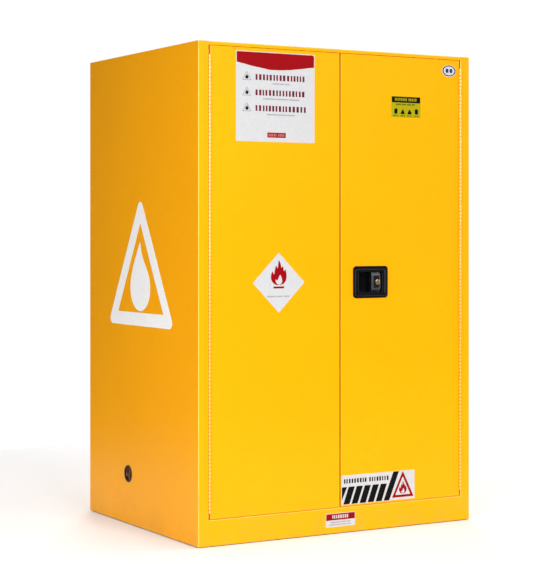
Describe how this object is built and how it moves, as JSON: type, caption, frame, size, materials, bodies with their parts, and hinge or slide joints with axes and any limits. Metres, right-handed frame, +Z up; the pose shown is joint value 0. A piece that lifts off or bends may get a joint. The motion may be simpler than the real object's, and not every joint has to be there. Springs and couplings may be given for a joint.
{
  "type": "flammable storage cabinet",
  "caption": "Double-wall steel safety cabinet for flammable liquids, with hinged doors, a recessed paddle lock, shelves, vents and a leakproof sump.",
  "frame": {"origin": "on the floor, under the middle of the cabinet", "axes": "+X to the right seen from the front, +Y from the doors to the back, +Z up"},
  "size_m": [1.108, 0.866, 1.65],
  "materials": {
    "paint": "smooth satin powder coat",
    "liner_paint": "satin powder coat",
    "galvanised": "galvanised sheet",
    "steel": "zinc plated",
    "hinge_steel": "painted over, knuckles worn",
    "lock_black": "black, satin",
    "key_brass": "polished",
    "gasket": "matte",
    "vent_dark": "dark, satin",
    "bung": "dull bronze",
    "mesh": "perforated",
    "brass_stud": "bright",
    "foot": "zinc plated",
    "sticker_white": "printed vinyl",
    "sticker_green": "printed vinyl",
    "sticker_blue": "printed vinyl"
  },
  "bodies": {
    "cabinet": {"outer_side_left": "paint", "outer_side_right": "paint", "outer_back": "paint", "outer_top": "paint", "base_pan": "paint", "front_header": "paint", "front_sill": "paint", "door_stops": "paint", "strike_plates": "steel", "liner_left": "liner_paint", "liner_right": "liner_paint", "liner_back": "liner_paint", "liner_top": "liner_paint", "sump_floor": "liner_paint", "hinge_frame_leaf_left": "hinge_steel", "hinge_frame_leaf_right": "hinge_steel", "hinge_pins": "steel", "shelf_uprights": "galvanised", "shelf_clips": "galvanised", "vent_collars": "vent_dark", "flame_arresters": "mesh", "ground_stud": "brass_stud", "ground_nuts": "brass_stud", "foot_nuts": "steel", "label_sill": "sticker_white", "side_emblem": "sticker_white"},
    "left_door": {"left_door_outer": "paint", "left_door_inner": "paint", "hinge_door_leaf_left": "hinge_steel", "left_bolt_guides": "steel", "label_hazard": "sticker_white", "label_diamond": "sticker_white"},
    "right_door": {"right_door_outer": "paint", "right_door_inner": "paint", "hinge_door_leaf_right": "hinge_steel", "paddle_housing": "lock_black", "housing_gasket": "gasket", "housing_screws": "steel", "rod_guides": "steel", "label_oval": "sticker_blue", "label_rating": "sticker_green", "label_goods": "sticker_white"},
    "left_bolt_top": {"left_bolt_top": "steel"},
    "left_bolt_bottom": {"left_bolt_bottom": "steel"},
    "paddle": {"paddle": "lock_black", "paddle_pins": "steel", "crank_arms": "steel"},
    "key": {"key_cylinder": "key_brass", "lock_cam": "steel"},
    "rod_top": {"rod_top": "steel"},
    "rod_bottom": {"rod_bottom": "steel"},
    "centre_bolt": {"centre_bolt": "steel"},
    "shelf_lower": {"shelf_lower": "galvanised"},
    "shelf_upper": {"shelf_upper": "galvanised"},
    "vent_bung_left": {"vent_bung_left": "bung"},
    "vent_bung_right": {"vent_bung_right": "bung"},
    "foot_front_left": {"foot_front_left": "foot"},
    "foot_front_right": {"foot_front_right": "foot"},
    "foot_rear_left": {"foot_rear_left": "foot"},
    "foot_rear_right": {"foot_rear_right": "foot"}
  },
  "joints": [
    {"name": "left_door_hinge", "type": "hinge", "parent": "cabinet", "child": "left_door", "pos_m": [-0.504, -0.432, 0.855], "axis": [0, 0, -1], "range_deg": [0, 180]},
    {"name": "right_door_hinge", "type": "hinge", "parent": "cabinet", "child": "right_door", "pos_m": [0.504, -0.432, 0.855], "axis": [0, 0, 1], "range_deg": [0, 180]},
    {"name": "left_bolt_top_slide", "type": "slide", "parent": "left_door", "child": "left_bolt_top", "axis": [0, 0, 1], "range_m": [0, 0.01]},
    {"name": "left_bolt_bottom_slide", "type": "slide", "parent": "left_door", "child": "left_bolt_bottom", "axis": [0, 0, -1], "range_m": [0, 0.01]},
    {"name": "paddle_pull", "type": "hinge", "parent": "right_door", "child": "paddle", "pos_m": [0.157, -0.423, 0.855], "axis": [0, 0, 1], "range_deg": [0, 35], "stiffness_Nm_per_rad": 0.6, "springref_deg": -22.92},
    {"name": "key_turn", "type": "hinge", "parent": "paddle", "child": "key", "pos_m": [0.152, -0.423, 0.855], "axis": [0, -1, 0], "range_deg": [0, 90]},
    {"name": "rod_top_slide", "type": "slide", "parent": "right_door", "child": "rod_top", "axis": [0, 0, -1], "range_m": [0, 0.012]},
    {"name": "rod_bottom_slide", "type": "slide", "parent": "right_door", "child": "rod_bottom", "axis": [0, 0, 1], "range_m": [0, 0.012]},
    {"name": "centre_bolt_slide", "type": "slide", "parent": "right_door", "child": "centre_bolt", "axis": [1, 0, 0], "range_m": [0, 0.012]},
    {"name": "shelf_lower_lift", "type": "slide", "parent": "cabinet", "child": "shelf_lower", "axis": [0, 0, 1], "range_m": [0, 0.04]},
    {"name": "shelf_upper_lift", "type": "slide", "parent": "cabinet", "child": "shelf_upper", "axis": [0, 0, 1], "range_m": [0, 0.04]},
    {"name": "vent_bung_left_pull", "type": "slide", "parent": "cabinet", "child": "vent_bung_left", "axis": [-1, 0, 0], "range_m": [0, 0.025]},
    {"name": "vent_bung_right_pull", "type": "slide", "parent": "cabinet", "child": "vent_bung_right", "axis": [1, 0, 0], "range_m": [0, 0.025]},
    {"name": "foot_front_left_screw", "type": "slide", "parent": "cabinet", "child": "foot_front_left", "axis": [0, 0, -1], "range_m": [0, 0.015]},
    {"name": "foot_front_right_screw", "type": "slide", "parent": "cabinet", "child": "foot_front_right", "axis": [0, 0, -1], "range_m": [0, 0.015]},
    {"name": "foot_rear_left_screw", "type": "slide", "parent": "cabinet", "child": "foot_rear_left", "axis": [0, 0, -1], "range_m": [0, 0.015]},
    {"name": "foot_rear_right_screw", "type": "slide", "parent": "cabinet", "child": "foot_rear_right", "axis": [0, 0, -1], "range_m": [0, 0.015]}
  ],
  "couplings": [
    {"joint": "rod_top_slide", "follows": "paddle_pull", "m_per_rad": 0.019644},
    {"joint": "rod_bottom_slide", "follows": "paddle_pull", "m_per_rad": 0.019644},
    {"joint": "centre_bolt_slide", "follows": "paddle_pull", "m_per_rad": 0.019644}
  ]
}
